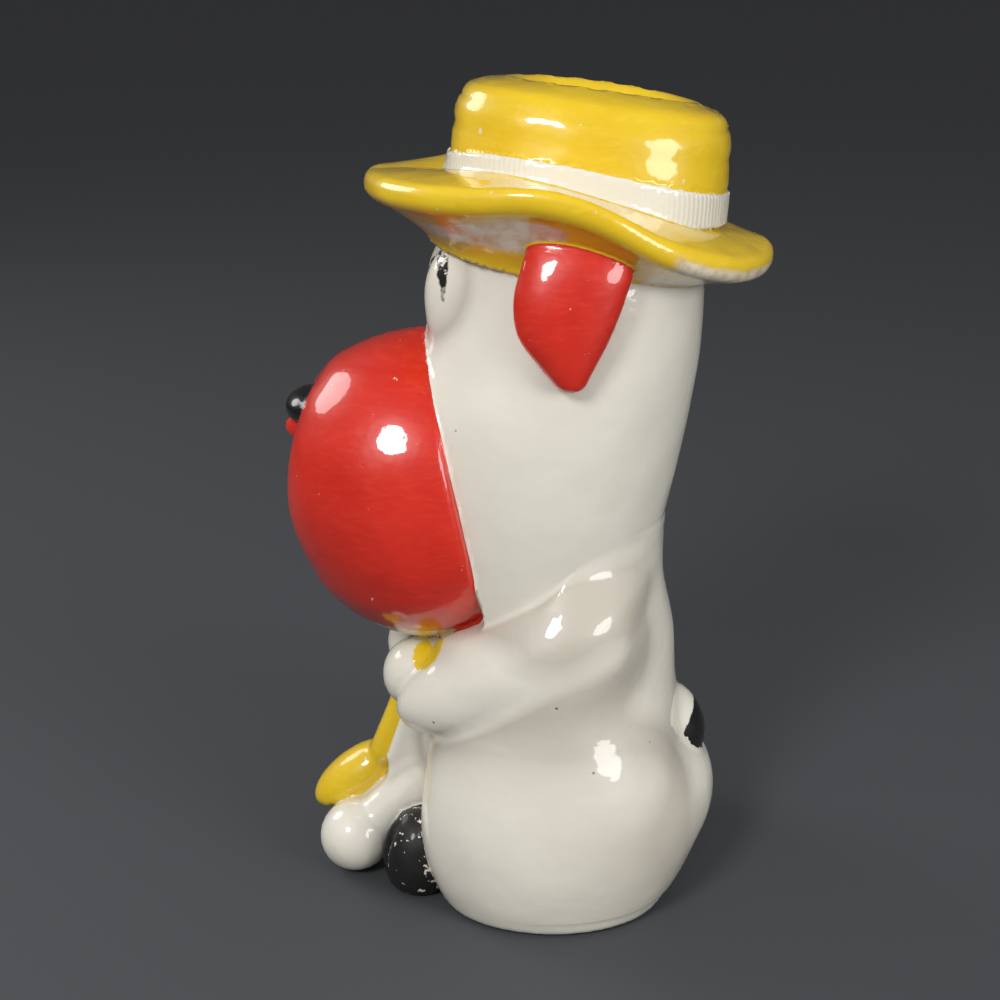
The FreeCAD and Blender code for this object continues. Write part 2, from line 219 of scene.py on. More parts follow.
def lean_to(p, plane):
    """Points seen in a frame that leans about the X axis."""
    turn = math.radians(plane["lean"])
    along = p[:, 1] - plane["y"]
    up = p[:, 2] - plane["z"]
    return np.stack([p[:, 0], along * math.cos(turn) + up * math.sin(turn),
                     up * math.cos(turn) - along * math.sin(turn)], axis=1)


def oval(p, key, side=LEFT):
    """Distance to a round form, mirrored where it is on the right."""
    sizes = OVALS[key]
    q = p - np.array([side * sizes["x"], sizes["y"], sizes["z"]])
    if "roll" in sizes:
        q = q @ np.array(Matrix.Rotation(math.radians(side * sizes["yaw"]), 3, "Z")
                         @ Matrix.Rotation(math.radians(sizes["roll"]), 3, "X"))
    radii = np.array([sizes["wide"], sizes["deep"], sizes["tall"]]) / 2
    near = np.linalg.norm(q / radii, axis=1)
    steep = np.linalg.norm(q / radii ** 2, axis=1)
    return near * (near - 1) / np.maximum(steep, TINY)


def along_levels(levels, values, z):
    """A smooth curve through the values, held level past both ends."""
    levels = np.asarray(levels, float)
    values = np.asarray(values, float)
    rises = np.gradient(values, levels)
    z = np.clip(z, levels[0], levels[-1])
    below = np.clip(np.searchsorted(levels, z) - 1, 0, len(levels) - 2)
    length = levels[below + 1] - levels[below]
    u = (z - levels[below]) / length
    return ((2 * u ** 3 - 3 * u ** 2 + 1) * values[below]
            + (3 * u ** 2 - 2 * u ** 3) * values[below + 1]
            + (u ** 3 - 2 * u ** 2 + u) * length * rises[below]
            + (u ** 3 - u ** 2) * length * rises[below + 1])


def ring_reach(p, rings, side=LEFT, inset=0.0):
    """How far a point stands out from the ring at its own level."""
    least_share = 0.001
    z = p[:, 2]
    x = p[:, 0]
    if "x" in rings:
        x = x - side * along_levels(rings["z"], rings["x"], z)
    y = p[:, 1] - along_levels(rings["z"], rings["y"], z)
    half_wide = along_levels(rings["z"], rings["wide"], z) / 2 - inset
    half_deep = along_levels(rings["z"], rings["deep"], z) / 2 - inset
    radius = np.hypot(x, y)
    if "cleft" in rings:
        cleft = along_levels(rings["z"], rings["cleft"], z)
        facing = x / np.maximum(radius, TINY) / rings["cleft_width_share"]
        half_deep = half_deep * np.where(y < 0, 1 - 2 * cleft * np.exp(-facing ** 2), 1)
    power = rings["power"]
    near = (np.abs(x / half_wide) ** power + np.abs(y / half_deep) ** power) ** (1 / power)
    return radius * (1 - 1 / np.maximum(near, least_share))


def ring_stack(p, rings, side=LEFT, inset=0.0):
    """Distance to a smooth loft through level ovals, closed at both ends."""
    step = 0.5
    held = p.copy()
    held[:, 2] = np.clip(p[:, 2], rings["z"][0], rings["z"][-1] - step)
    out = ring_reach(held, rings, side, inset)
    above = ring_reach(held + np.array([0, 0, step]), rings, side, inset)
    out = out / np.sqrt(1 + ((above - out) / step) ** 2)
    return trim(out, outside(p[:, 2], rings["z"][0], rings["z"][-1]), rings["edge"])


def rod(p, low, high, radius):
    """Distance to a round bar with rounded ends."""
    low = np.array(low, float)
    line = np.array(high, float) - low
    share = np.clip((p - low) @ line / (line @ line), 0, 1)
    return np.linalg.norm(p - low - share[:, None] * line, axis=1) - radius


def web(p):
    """Distance to the flat plate of plaster between the club and the belly."""
    q = p[:, 1:]
    corners = np.array(WEB["outline"], float)
    best = np.full(len(p), FAR)
    inside = np.zeros(len(p), bool)
    for start, end in zip(corners, np.roll(corners, -1, axis=0)):
        line = end - start
        share = np.clip((q - start) @ line / (line @ line), 0, 1)
        best = np.minimum(best, np.linalg.norm(q - start - share[:, None] * line, axis=1))
        crosses = (start[1] > q[:, 1]) != (end[1] > q[:, 1])
        if line[1]:
            edge_y = start[0] + (q[:, 1] - start[1]) * line[0] / line[1]
            inside ^= crosses & (q[:, 0] < edge_y)
    flat = np.where(inside, -best, best)
    return trim(flat, np.abs(p[:, 0]) - WEB["half_thick"], WEB["edge"])


def paw(p, side):
    """Distance to a hind paw on the floor, with the grooves between its toes."""
    out = oval(p, "paw", side)
    for aside in TOES["aside"]:
        low, high = [(side * aside, *TOES[end]) for end in ("low", "high")]
        out = trim(out, -rod(p, low, high, TOES["radius"]), TOES["edge"])
    return np.maximum(out, -p[:, 2])


def round_angle(x, y):
    """The angle round the hat, the same on both sides."""
    return np.degrees(np.arctan2(y, np.abs(x)))


def crown(q):
    """Distance to the hat's crown in its own frame, pinched at both sides and dented on top."""
    out = ring_stack(q, CROWN)
    for press in (oval(q, "pinch", LEFT), oval(q, "pinch", RIGHT), oval(q, "dent")):
        out = trim(out, -press, CROWN["press_edge"])
    return out


def band(q):
    """Distance to the ribbon in the crown's frame: a thin sleeve that climbs at the sides."""
    sleeve = ring_reach(q, CROWN, inset=-BAND["proud"])
    angle = round_angle(q[:, 0] / CROWN["wide"][0], q[:, 1] / CROWN["deep"][0])
    top = along_levels(ROUND, BAND_TOP, angle)
    return trim(sleeve, outside(q[:, 2], -BAND["sunk"], top), BAND["edge"])


def brim_raw(q):
    """The brim's field in its own frame, before it is scaled to a distance."""
    sizes = BRIM_SIZES
    x = q[:, 0] / sizes["half_wide"]
    y = q[:, 1] / sizes["half_deep"]
    share = np.hypot(x, y)
    angle = round_angle(x, y)
    corner = np.where((x < 0) & (y < 0), (2 * x * y / np.maximum(share, TINY) ** 2) ** 2, 0)
    rim = along_levels(ROUND, RIM_HEIGHTS, angle) * (1 - corner) - sizes["sag"] * corner
    root_share = sizes["root_share"]
    out = np.clip((share - root_share) / (1 - root_share), 0, sizes["out_limit"])
    root = -sizes["root_drop"]
    under = root + (rim - sizes["half_edge"] - root) * out ** sizes["under_curve"]
    foot = sizes["foot"] + along_levels(ROUND, BAND_FOOT, angle)
    over = foot + (rim + sizes["half_edge"] - foot) * out ** sizes["over_curve"]
    body = trim(q[:, 2] - over, under - q[:, 2], sizes["fold_edge"])
    return trim(body, (share - 1) * sizes["half_wide"], sizes["rim_edge"])


def brim(p):
    """Distance to the brim: its raw field over how fast that field grows."""
    step = 0.5
    least_growth = 0.5
    q = lean_to(p, BRIM)
    raw = brim_raw(q)
    growth = [(brim_raw(q + step * axis) - raw) / step for axis in np.eye(3)]
    return raw / np.maximum(np.sqrt(sum(g ** 2 for g in growth)), least_growth)


def forms(p):
    """Every node's own distance at the points, each form trimmed where a plane ends it."""
    y = p[:, 1]
    seam = lean_to(p, SEAM)[:, 1]
    neck = lean_to(p, NECK)[:, 2]
    hat = lean_to(p, CROWN_SEAT)
    softness = NAPE_SOFT_SHARE + (1 - NAPE_SOFT_SHARE) * ease(y, NAPE_SOFT_Y, JAW_SOFT_Y)
    overlap = NAPE_OVERLAP * ease(y, OVERLAP_START_Y, OVERLAP_FULL_Y)
    skull = trim(ring_stack(p, SKULL), -neck - overlap, HEAD_EDGE * softness)
    found = {
        "body_shell": trim(ring_stack(p, TORSO), neck - overlap, TRUNK_EDGE * softness),
        "head_shell": np.maximum(skull, -seam),
        "muzzle": trim(ring_stack(p, MUZZLE), seam, SEAM_EDGE),
        "nose": oval(p, "nose"),
        "lip": oval(p, "lip"),
        "hat_crown": crown(hat),
        "hat_band": band(hat),
        "hat_brim": brim(p)}
    for word, side in SIDES:
        found["eye_" + word] = oval(p, "eye", side)
        found["ear_" + word] = ring_stack(p, EAR, side)
        found["haunch_" + word] = np.maximum(oval(p, "haunch", side), -p[:, 2])
        found["arm_" + word] = np.maximum(oval(p, "arm", side), neck)
        found["hand_" + word] = oval(p, "hand", side)
        found["paw_" + word] = paw(p, side)
    found["tail"] = oval(p, "tail")
    found["club_head"] = oval(p, "club")
    found["club_grip"] = rod(p, **RODS["club_grip"])
    found["club_shaft"] = rod(p, **RODS["club_shaft"])
    found["club_web"] = web(p)
    found["ball"] = oval(p, "ball")
    found["ball_bridge"] = rod(p, **RODS["ball_bridge"])
    return found


def hollow(p):
    """Distance to the trunk's hollow and its pour hole."""
    trunk = np.maximum(ring_stack(p, TORSO, inset=WALL), WALL - p[:, 2])
    inner = np.maximum(trunk, lean_to(p, NECK)[:, 2])
    bore = np.hypot(p[:, 0], p[:, 1] - POUR_HOLE["y"]) - POUR_HOLE["radius"]
    return np.minimum(inner, np.maximum(bore, p[:, 2] - POUR_HOLE["top"]))


def arm_fill(p):
    """How much wider than its plain radius the arm's crease is filled at the points."""
    y = p[:, 1]
    arm = OVALS["arm"]
    up = p[:, 2] - arm["z"] - JAW_FILL["axis_rise"] * (y - arm["y"])
    above = ease(up, JAW_FILL["start_up"], JAW_FILL["full_up"])
    rear = SHOULDER_FILL["fill"] * ease(y, SHOULDER_FILL["start_y"], SHOULDER_FILL["full_y"])
    return rear + JAW_FILL["fill"] * above * ease(y, JAW_FILL["start_y"], JAW_FILL["full_y"])


def casting(p):
    """Distance to the skin of the whole casting."""
    found = forms(p)
    whole = found["body_shell"]
    for node, radius in MELTS.items():
        extra = arm_fill(p) if node.startswith("arm") else 0
        whole = melt(whole, found[node], radius + extra)
    whole = trim(whole, -hollow(p), POUR_HOLE["edge"])
    return trim(whole, -p[:, 2], BASE_EDGE)


def in_slices(function, points, count=200000):
    """Runs a field over many points in slices that fit in memory."""
    return np.concatenate([function(points[i:i + count]) for i in range(0, len(points), count)])


def sample_field(low, high):
    """The casting's distances on a lattice, worked out finely only beside its skin."""
    step = 4
    coarse_steps_near = 1.8
    sizes = [int(math.ceil((b - a) / CELL / step)) * step + 1 for a, b in zip(low, high)]
    axes = [a + CELL * np.arange(n) for a, n in zip(low, sizes)]
    coarse_axes = [axis[::step] for axis in axes]
    grid = np.stack(np.meshgrid(*coarse_axes, indexing="ij"), axis=-1)
    fine = in_slices(casting, grid.reshape(-1, 3)).reshape(grid.shape[:3])
    for number, (axis, short) in enumerate(zip(axes, coarse_axes)):
        place = (axis - short[0]) / (step * CELL)
        below = np.clip(place.astype(int), 0, len(short) - 2)
        share = (place - below).reshape([-1 if i == number else 1 for i in range(3)])
        before, after = np.take(fine, below, number), np.take(fine, below + 1, number)
        fine = before * (1 - share) + after * share
    near = np.abs(fine) < coarse_steps_near * step * CELL
    spots = np.argwhere(near)
    fine[near] = in_slices(casting, np.array(low) + CELL * spots)
    return fine


def surface_net(field, start):
    """A quad mesh with one point in each lattice cell that the skin crosses."""
    corners = [(i, j, k) for i in (0, 1) for j in (0, 1) for k in (0, 1)]
    shape = np.array(field.shape) - 1
    inside = field < 0
    windows = [tuple(slice(c, c + s) for c, s in zip(corner, shape)) for corner in corners]
    total = sum(inside[window].astype(np.int8) for window in windows)
    crossed = (total > 0) & (total < len(corners))
    cells = np.argwhere(crossed)
    index = -np.ones(shape, int)
    index[crossed] = np.arange(len(cells))
    place = np.zeros((len(cells), 3))
    count = np.zeros(len(cells))
    for corner in corners:
        for axis in range(3):
            if corner[axis]:
                continue
            far_corner = tuple(c + (i == axis) for i, c in enumerate(corner))
            here = field[tuple((cells + corner).T)]
            there = field[tuple((cells + far_corner).T)]
            cross = (here < 0) != (there < 0)
            share = np.where(cross, here / np.where(cross, here - there, 1), 0)
            spot = np.array(corner, float) + np.eye(3)[axis] * share[:, None]
            place += np.where(cross[:, None], spot, 0)
            count += cross
    points = start + CELL * (cells + place / count[:, None])
    quads = []
    for axis, first, second in ((0, 1, 2), (1, 2, 0), (2, 0, 1)):
        low = np.take(field, range(field.shape[axis] - 1), axis) < 0
        high = np.take(field, range(1, field.shape[axis]), axis) < 0
        edges = np.argwhere(low != high)
        edges = edges[(edges[:, first] > 0) & (edges[:, second] > 0)]
        ring = []
        for back_first, back_second in ((0, 0), (1, 0), (1, 1), (0, 1)):
            cell = edges.copy()
            cell[:, first] -= back_first
            cell[:, second] -= back_second
            ring.append(index[tuple(cell.T)])
        ring = np.stack(ring, axis=1)
        inward = ~low[tuple(edges.T)]
        ring[inward] = ring[inward][:, ::-1]
        quads.append(ring)
    return points, np.concatenate(quads)


def slopes(p):
    """The skin's outward direction at the points, and their distance from it."""
    step = 0.25
    least_steepness = 0.2
    here = in_slices(casting, p)
    slope = np.stack([in_slices(casting, p + step * axis) - here for axis in np.eye(3)], axis=1)
    length = np.linalg.norm(slope, axis=1, keepdims=True)
    steep = np.maximum(length[:, 0], least_steepness)
    return slope / np.maximum(length, TINY), here / steep


def build_skin():
    """The whole skin: its points, their normals and its triangles."""
    margin = 3 * CELL
    rounds = 3
    longest_move = 0.4
    low, high = np.array(cad_box) / MM
    start = low - margin
    points, quads = surface_net(sample_field(start, high + margin), start)
    for _ in range(rounds):
        normals, here = slopes(points)
        points = points - normals * np.clip(here, -longest_move, longest_move)[:, None]
    points = points.clip(low, high)
    triangles = np.concatenate([quads[:, [0, 1, 2]], quads[:, [0, 2, 3]]])
    return points, slopes(points)[0], triangles


def claims(p):
    """Every node's claim on the points: the lowest wins, and the arms come before the jaw."""
    neck = lean_to(p, NECK)[:, 2]
    in_hollow = np.abs(hollow(p)) < HOLLOW_NEAR
    found = forms(p)
    found["head_shell"] = np.maximum(found["head_shell"], -neck)
    found["body_shell"] = np.where(in_hollow, -FAR, np.maximum(found["body_shell"], neck))
    for word, _ in SIDES:
        found["arm_" + word] = found["arm_" + word] - ARM_GAIN
    return found


def part_skin(points, extras, triangles, table):
    """Cuts the triangles along the lines where two nodes' claims are equal."""
    least_share = 0.02
    owner = table.argmin(axis=1)
    owners = owner[triangles]
    mixed = (owners[:, 0] != owners[:, 1]) | (owners[:, 1] != owners[:, 2])
    faces = [triangles[~mixed]]
    labels = [owners[~mixed, 0]]
    triangles, owners = triangles[mixed], owners[mixed]
    ends = np.concatenate([triangles[:, [0, 1]], triangles[:, [1, 2]], triangles[:, [2, 0]]])
    ends, where = np.unique(np.sort(ends, axis=1), axis=0, return_inverse=True)
    low, high = ends.T
    low_owner, high_owner = owner[low], owner[high]
    ahead = table[low, high_owner] - table[low, low_owner]
    behind = table[high, low_owner] - table[high, high_owner]
    share = ahead / np.maximum(ahead + behind, TINY)
    share = share.clip(least_share, 1 - least_share)[:, None]
    cut = len(points) + where.reshape(3, -1).T
    middle = len(points) + len(ends) + np.arange(len(triangles))
    both = np.concatenate([points, extras], axis=1)
    both = np.concatenate([both, both[low] * (1 - share) + both[high] * share])
    both = np.concatenate([both, both[cut].mean(axis=1)])
    for i in range(3):
        after, before = (i + 1) % 3, (i + 2) % 3
        alone = (owners[:, i] != owners[:, after]) & (owners[:, i] != owners[:, before])
        pair = alone & (owners[:, after] == owners[:, before])
        three = alone & ~pair
        corner, next_cut, last_cut = triangles[:, i], cut[:, i], cut[:, before]
        next_corner, last_corner = triangles[:, after], triangles[:, before]
        for ring, chosen, whose in (
                ((corner, next_cut, last_cut), pair, i),
                ((next_cut, next_corner, last_corner), pair, after),
                ((next_cut, last_corner, last_cut), pair, after),
                ((corner, next_cut, middle), three, i),
                ((corner, middle, last_cut), three, i)):
            faces.append(np.stack(ring, axis=1)[chosen])
            labels.append(owners[chosen, whose])
    width = points.shape[1]
    return both[:, :width], both[:, width:], np.concatenate(faces), np.concatenate(labels)


def close_skin(points, normals, triangles):
    """Gives the open skin a thickness, so that it is a closed shell."""
    count = len(points)
    edges = np.concatenate([triangles[:, [0, 1]], triangles[:, [1, 2]], triangles[:, [2, 0]]])
    _, inverse, seen = np.unique(np.sort(edges, axis=1), axis=0, return_inverse=True,
                                 return_counts=True)
    start, end = edges[seen[inverse.reshape(-1)] == 1].T
    walls = np.concatenate([np.stack([end, start, start + count], axis=1),
                            np.stack([end, start + count, end + count], axis=1)])
    faces = np.concatenate([triangles, triangles[:, ::-1] + count, walls])
    return np.concatenate([points, points - normals * SKIN]), faces


# Per-point measures in millimetres that the paint follows: how deep in a crease, how far
# from the next colour, and how far outside a painted patch and a bare patch
MARKS = ("crease", "border", "patch", "bare")
MARK_LIMIT = 20


def make_piece(name, points, normals, triangles, marks):
    """One closed piece of the skin, shaded by the field's own directions."""
    used, inverse = np.unique(triangles.reshape(-1), return_inverse=True)
    points, normals, marks = points[used], normals[used], marks[used]
    normals = normals / np.maximum(np.linalg.norm(normals, axis=1, keepdims=True), TINY)
    every, faces = close_skin(points, normals, inverse.reshape(-1, 3))
    mesh = bpy.data.meshes.new(name)
    mesh.vertices.add(len(every))
    mesh.vertices.foreach_set("co", (every * MM).reshape(-1))
    mesh.loops.add(len(faces) * 3)
    mesh.loops.foreach_set("vertex_index", faces.reshape(-1).astype(np.int32))
    mesh.polygons.add(len(faces))
    mesh.polygons.foreach_set("loop_start", np.arange(0, len(faces) * 3, 3, dtype=np.int32))
    mesh.update(calc_edges=True)
    mesh.polygons.foreach_set("use_smooth", np.ones(len(faces), bool))
    directions = np.concatenate([normals, -normals])
    mesh.normals_split_custom_set_from_vertices([tuple(n) for n in directions])
    for word, values in zip(MARKS, marks.T):
        layer = mesh.attributes.new(word, "FLOAT", "POINT")
        layer.data.foreach_set("value", np.concatenate([values, values]).astype(np.float32))
    piece = bpy.data.objects.new(name, mesh)
    bpy.context.scene.collection.objects.link(piece)
    return piece


# Painted spots: their middle, and their radii across, along and up
PUPIL = dict(x=6.5, y=-31, z=214, radii=(5, 8, 9))
GRIP_SHOW = dict(x=23, y=-30.5, z=91, radii=(9, 7, 8))

# The worn black line down each eye's outer side, which narrows towards its foot
EYE_LINE = dict(y=-25.5, z=226, outer_x=13, half_wide=1.7, top=8, foot=-14,
                narrows_below=-4, narrowing=0.13)

# The tail's black back, and the white under the muzzle, which dips away from its middle
TAIL_BACK = dict(y=57, z=54, lean=-28)
MUZZLE_FOOT = dict(y=-34, z=100.5, dip=0.08)

# Where the brim's paint is missing below, in front and behind, and along its rear edge:
# the angles round the hat, and the millimetres that a degree counts for
BARE_FRONT = dict(angles=(-60, -3), inner=45)
BARE_REAR = dict(angles=(28, 75))
BARE_BELOW = dict(per_degree=0.6, outer_share=0.88, wave_share=0.04, waves=5, facing=-0.5,
                  per_facing=12)
BARE_STRIP = dict(angles=(26, 88), per_degree=0.5, inner_share=0.94, per_share=40,
                  facing=-0.05, per_facing=5)


def spot(p, sizes, side=LEFT):
    """About how far points lie outside a painted spot."""
    q = p - np.array([side * sizes["x"], sizes["y"], sizes["z"]])
    radii = np.array(sizes["radii"])
    return (np.linalg.norm(q / radii, axis=1) - 1) * radii.min()


def eye_patch(p):
    """How far points lie outside the pupils, and outside the line down each eye's outer side."""
    line = EYE_LINE
    across, up = p[:, 1] - line["y"], p[:, 2] - line["z"]
    narrowed = line["narrowing"] * np.maximum(line["narrows_below"] - up, 0)
    out = np.full(len(p), FAR)
    for _, side in SIDES:
        stroke = np.maximum.reduce([outside(across, -line["half_wide"], line["half_wide"]),
                                    line["outer_x"] - side * p[:, 0],
                                    outside(up, line["foot"], line["top"])])
        out = np.minimum.reduce([out, spot(p, PUPIL, side), stroke + narrowed])
    return out


def painted_patch(p, owner):
    """How far points lie outside their node's patch of a second colour."""
    eyes = eye_patch(p)
    grip_show = spot(p, GRIP_SHOW)
    tail_back = -lean_to(p, TAIL_BACK)[:, 1]
    dip = MUZZLE_FOOT["dip"] * np.abs(p[:, 1] - MUZZLE_FOOT["y"])
    patches = {"eye_left": eyes, "eye_right": eyes, "head_shell": eyes, "tail": tail_back,
               "hand_left": grip_show, "arm_left": grip_show,
               "muzzle": p[:, 2] - MUZZLE_FOOT["z"] - dip}
    out = np.full(len(p), FAR)
    for node, patch in patches.items():
        out = np.where(owner == node, patch, out)
    return out


def bare_patch(p, normals, owner):
    """How far points lie outside the brim's unpainted places."""
    q = lean_to(p, BRIM)
    x, y = q[:, 0] / BRIM_SIZES["half_wide"], q[:, 1] / BRIM_SIZES["half_deep"]
    share = np.hypot(x, y)
    angle = round_angle(x, y)
    below, strip = BARE_BELOW, BARE_STRIP
    wave = below["wave_share"] * np.sin(np.radians(below["waves"] * angle))
    reach = BRIM_SIZES["half_wide"] * (share - below["outer_share"] + wave)
    front = np.maximum(outside(angle, *BARE_FRONT["angles"]) * below["per_degree"],
                       BARE_FRONT["inner"] - share * BRIM_SIZES["half_wide"])
    rear = outside(angle, *BARE_REAR["angles"]) * below["per_degree"]
    under = np.maximum.reduce([np.minimum(front, rear), reach,
                               below["per_facing"] * (normals[:, 2] - below["facing"])])
    edge = np.maximum.reduce([outside(angle, *strip["angles"]) * strip["per_degree"],
                              strip["per_share"] * (strip["inner_share"] - share),
                              strip["per_facing"] * (normals[:, 2] - strip["facing"])])
    return np.where(owner == "hat_brim", np.minimum(under, edge), FAR)


def build_pieces():
    """Every node's stretch of the skin, as a piece of its own."""
    points, normals, triangles = build_skin()
    found = claims(points)
    names = list(found)
    table = np.stack([found[name] for name in names], axis=1)
    owner = np.array(names)[table.argmin(axis=1)]
    lowest, second = np.sort(table, axis=1)[:, :2].T
    marks = np.stack([lowest - in_slices(casting, points), second - lowest,
                      painted_patch(points, owner), bare_patch(points, normals, owner)], axis=1)
    extras = np.concatenate([normals, marks.clip(-MARK_LIMIT, MARK_LIMIT)], axis=1)
    points, extras, faces, labels = part_skin(points, extras, triangles, table)
    return {name: make_piece(name + "_skin", points, extras[:, :3], faces[labels == number],
                             extras[:, 3:])
            for number, name in enumerate(names) if (labels == number).any()}


CHALK = "#e9e0cc"
STAINED_CHALK = "#d6bb88"
CLEAN_CHALK = "#f0e8d6"
# Painted shade: a brown laid into the creases, deeper where the crease is deeper
CREASE_SHADE = "#6b5638"
# Painted shade inside the pinholes
PIT_SHADE = "#4a3d2c"
WHITE = "#ebe6d8"
BLACK = "#131315"
YELLOW = "#f0ca1f"

# Brushed oil enamels. Each has its colour, its shades where the brush left it thin or
# thick, how rough it is, how much clear lacquer covers it, and how much it is chipped,
# pitted and streaked. Some have a patch of a second colour, which can be worn.
WHITE_ENAMEL = dict(colour=WHITE, thin="#efe9db", thick="#dcd6c4", rough=0.42, lacquer=1.0,
                    chips=0.0, pits=1.0, streak=0.25)
ENAMELS = {
    # Cream white, flowed on over the whole casting first: even, soft and deep under lacquer
    "white_enamel": WHITE_ENAMEL,
    # The same white with a black patch brushed on it, whole or worn back to the white
    "white_enamel_black_painted": dict(WHITE_ENAMEL, patch=BLACK),
    "white_enamel_black_worn": dict(WHITE_ENAMEL, patch=BLACK, worn=True),
    # The same white, with the yellow of the club's grip that ran over onto the hand
    "white_enamel_yellow_painted": dict(WHITE_ENAMEL, patch=YELLOW),
    # Chrome yellow, brushed thickly: paler streaks, and bare chalk where the brush missed
    "yellow_enamel": dict(colour=YELLOW, thin="#f5d83e", thick="#e0b215", rough=0.38,
                          lacquer=1.0, chips=0.25, pits=0.5, streak=0.7, missed=True),
    # Signal red, glossy and streaky, cut in by hand round the cream underneath
    "red_enamel": dict(colour="#dc2b18", thin="#e64526", thick="#c41d10", rough=0.38,
                       lacquer=1.0, chips=0.1, pits=0.4, streak=0.7, patch="#ecdcae"),
    # Black for the nose under lacquer: a hard, dark shine
    "gloss_black_enamel": dict(colour=BLACK, thin="#26262a", thick="#0b0b0c", rough=0.3,
                               lacquer=0.9, chips=0.2, pits=0.3, streak=0.5),
    # Black for the paws with hardly any lacquer: dull, and chipped to the chalk by handling
    "flat_black_enamel": dict(colour="#1d1c1b", thin="#35322e", thick="#131211", rough=0.55,
                              lacquer=0.25, chips=1.0, pits=0.6, streak=0.7),
    # White over the ribbon, whose pleats catch the light
    "white_enamel_pleated": dict(WHITE_ENAMEL, pits=0.0, pleated=True),
}
SLOT_ENAMELS = {"chalk_white": "white_enamel", "hat_yellow": "yellow_enamel",
                "muzzle_red": "red_enamel", "nose_black": "gloss_black_enamel",
                "paw_black": "flat_black_enamel"}
NODE_ENAMELS = {"eye_left": "white_enamel_black_worn", "eye_right": "white_enamel_black_worn",
                "head_shell": "white_enamel_black_worn", "tail": "white_enamel_black_painted",
                "hand_left": "white_enamel_yellow_painted",
                "arm_left": "white_enamel_yellow_painted", "hat_band": "white_enamel_pleated"}

# Uneven patterns: millimetres between their features, and their fine detail. The bristle
# marks and the plaster's grain are well under half a millimetre on the real one, and are
# drawn this coarse so that they show.
PATTERNS = {"brush": (2.2, 4.0), "flow": (16, 2.0), "grain": (0.7, 2.0), "dents": (9, 2.0),
            "swells": (34, 1.0)}
EDGE_BLOTCHES = (3.5, 3.0)
WEAR_BLOTCHES = (3.4, 4.0)
CHIP_BLOTCHES = (3.6, 4.0)
STAIN_BLOTCHES = (7, 3.0)
PATTERN_ROUGHNESS = 0.6
BRUSH_STRETCH = (0.35, 0.35, 1.6)

# Hand-painted edges: how far they wander, and the distances between which they fade in
PATCH_EDGE = dict(wander=2.4, start=0.25, full=-0.25)
MISSED_EDGE = dict(wander=3.12, start=0.5, full=-0.6)

# Air holes, about 0.8 mm across: cells this far apart, of which about a third has one
PIT_SPACING = 14

# Heights of the surface in millimetres, and how strongly they turn its shading
SWELL_HEIGHT = 2.6
DENT_HEIGHT = 0.45
BRUSH_HEIGHT = 0.05
GRAIN_HEIGHT = 0.012
PIT_DEPTH = 0.4
PATCH_HEIGHT = 0.06
RELIEF = 0.55

# The ribbon's pleats: how many there are all round, how tightly they gather, their height
PLEATS = dict(count=150, gather=3.0, height=0.28)

# Oil enamel and the lacquer over it bend light alike, and the lacquer is the smoother one
VARNISH_IOR = 1.5
LACQUER_ROUGHNESS = 0.05

# How much the brush marks vary the paint's roughness
GLOSS_SPREAD = 0.14


def linear(hex_colour):
    """An sRGB hex colour as the linear one that a shader takes."""
    parts = [int(hex_colour[i:i + 2], 16) / 255 for i in (1, 3, 5)]
    return [c / 12.92 if c <= 0.04045 else ((c + 0.055) / 1.055) ** 2.4 for c in parts] + [1]


def add(tree, kind, inputs, **settings):
    """Adds a node with its settings and links, and gives its outputs.

    An input takes a socket, a number or a hex colour, by its name or its number.
    """
    node = tree.nodes.new(kind)
    for name, value in settings.items():
        setattr(node, name, value)
    for place, value in inputs.items():
        if isinstance(value, bpy.types.NodeSocket):
            tree.links.new(value, node.inputs[place])
        else:
            node.inputs[place].default_value = linear(value) if isinstance(value, str) else value
    return node.outputs


def scaled(size_mm):
    """The scale of a pattern in metres whose features are this many millimetres apart."""
    return 1 / (size_mm * MM)


def uneven(size_mm, detail):
    """The values of an uneven pattern of this size and detail."""
    return {"Scale": scaled(size_mm), "Detail": detail, "Roughness": PATTERN_ROUGHNESS}


def pleats(tree, place):
    """Ridges up the ribbon, gathered tightest at its front and its back."""
    across, along, _ = add(tree, "ShaderNodeSeparateXYZ", {"Vector": place})
    back = add(tree, "ShaderNodeMath", {0: along, 1: CROWN_SEAT["y"] * MM},
               operation="SUBTRACT")[0]
    angle = add(tree, "ShaderNodeMath", {0: back, 1: across}, operation="ARCTAN2")[0]
    many = add(tree, "ShaderNodeMath", {0: angle, 1: PLEATS["count"]}, operation="MULTIPLY")[0]
    ridge = add(tree, "ShaderNodeMath", {0: many}, operation="SINE")[0]
    facing = add(tree, "ShaderNodeMath", {0: angle}, operation="SINE")[0]
    facing = add(tree, "ShaderNodeMath", {0: facing}, operation="ABSOLUTE")[0]
    gather = add(tree, "ShaderNodeMath", {0: facing, 1: PLEATS["gather"]},
                 operation="POWER")[0]
    return add(tree, "ShaderNodeMath", {0: ridge, 1: gather}, operation="MULTIPLY")[0]


def pinholes(tree, place, share):
    """Small round holes that air in the slip left here and there, from 0 to this share."""
    cells = add(tree, "ShaderNodeTexVoronoi", {"Vector": place, "Scale": scaled(PIT_SPACING)})
    chance = add(tree, "ShaderNodeSeparateColor", {"Color": cells["Color"]})[0]
    hole = add(tree, "ShaderNodeMapRange",
               {"Value": cells["Distance"], "From Min": 0.045, "From Max": 0.02})[0]
    chosen = add(tree, "ShaderNodeMapRange",
                 {"Value": chance, "From Min": 0.62, "From Max": 0.66, "To Max": share})[0]
    return add(tree, "ShaderNodeMath", {0: hole, 1: chosen}, operation="MULTIPLY")[0]


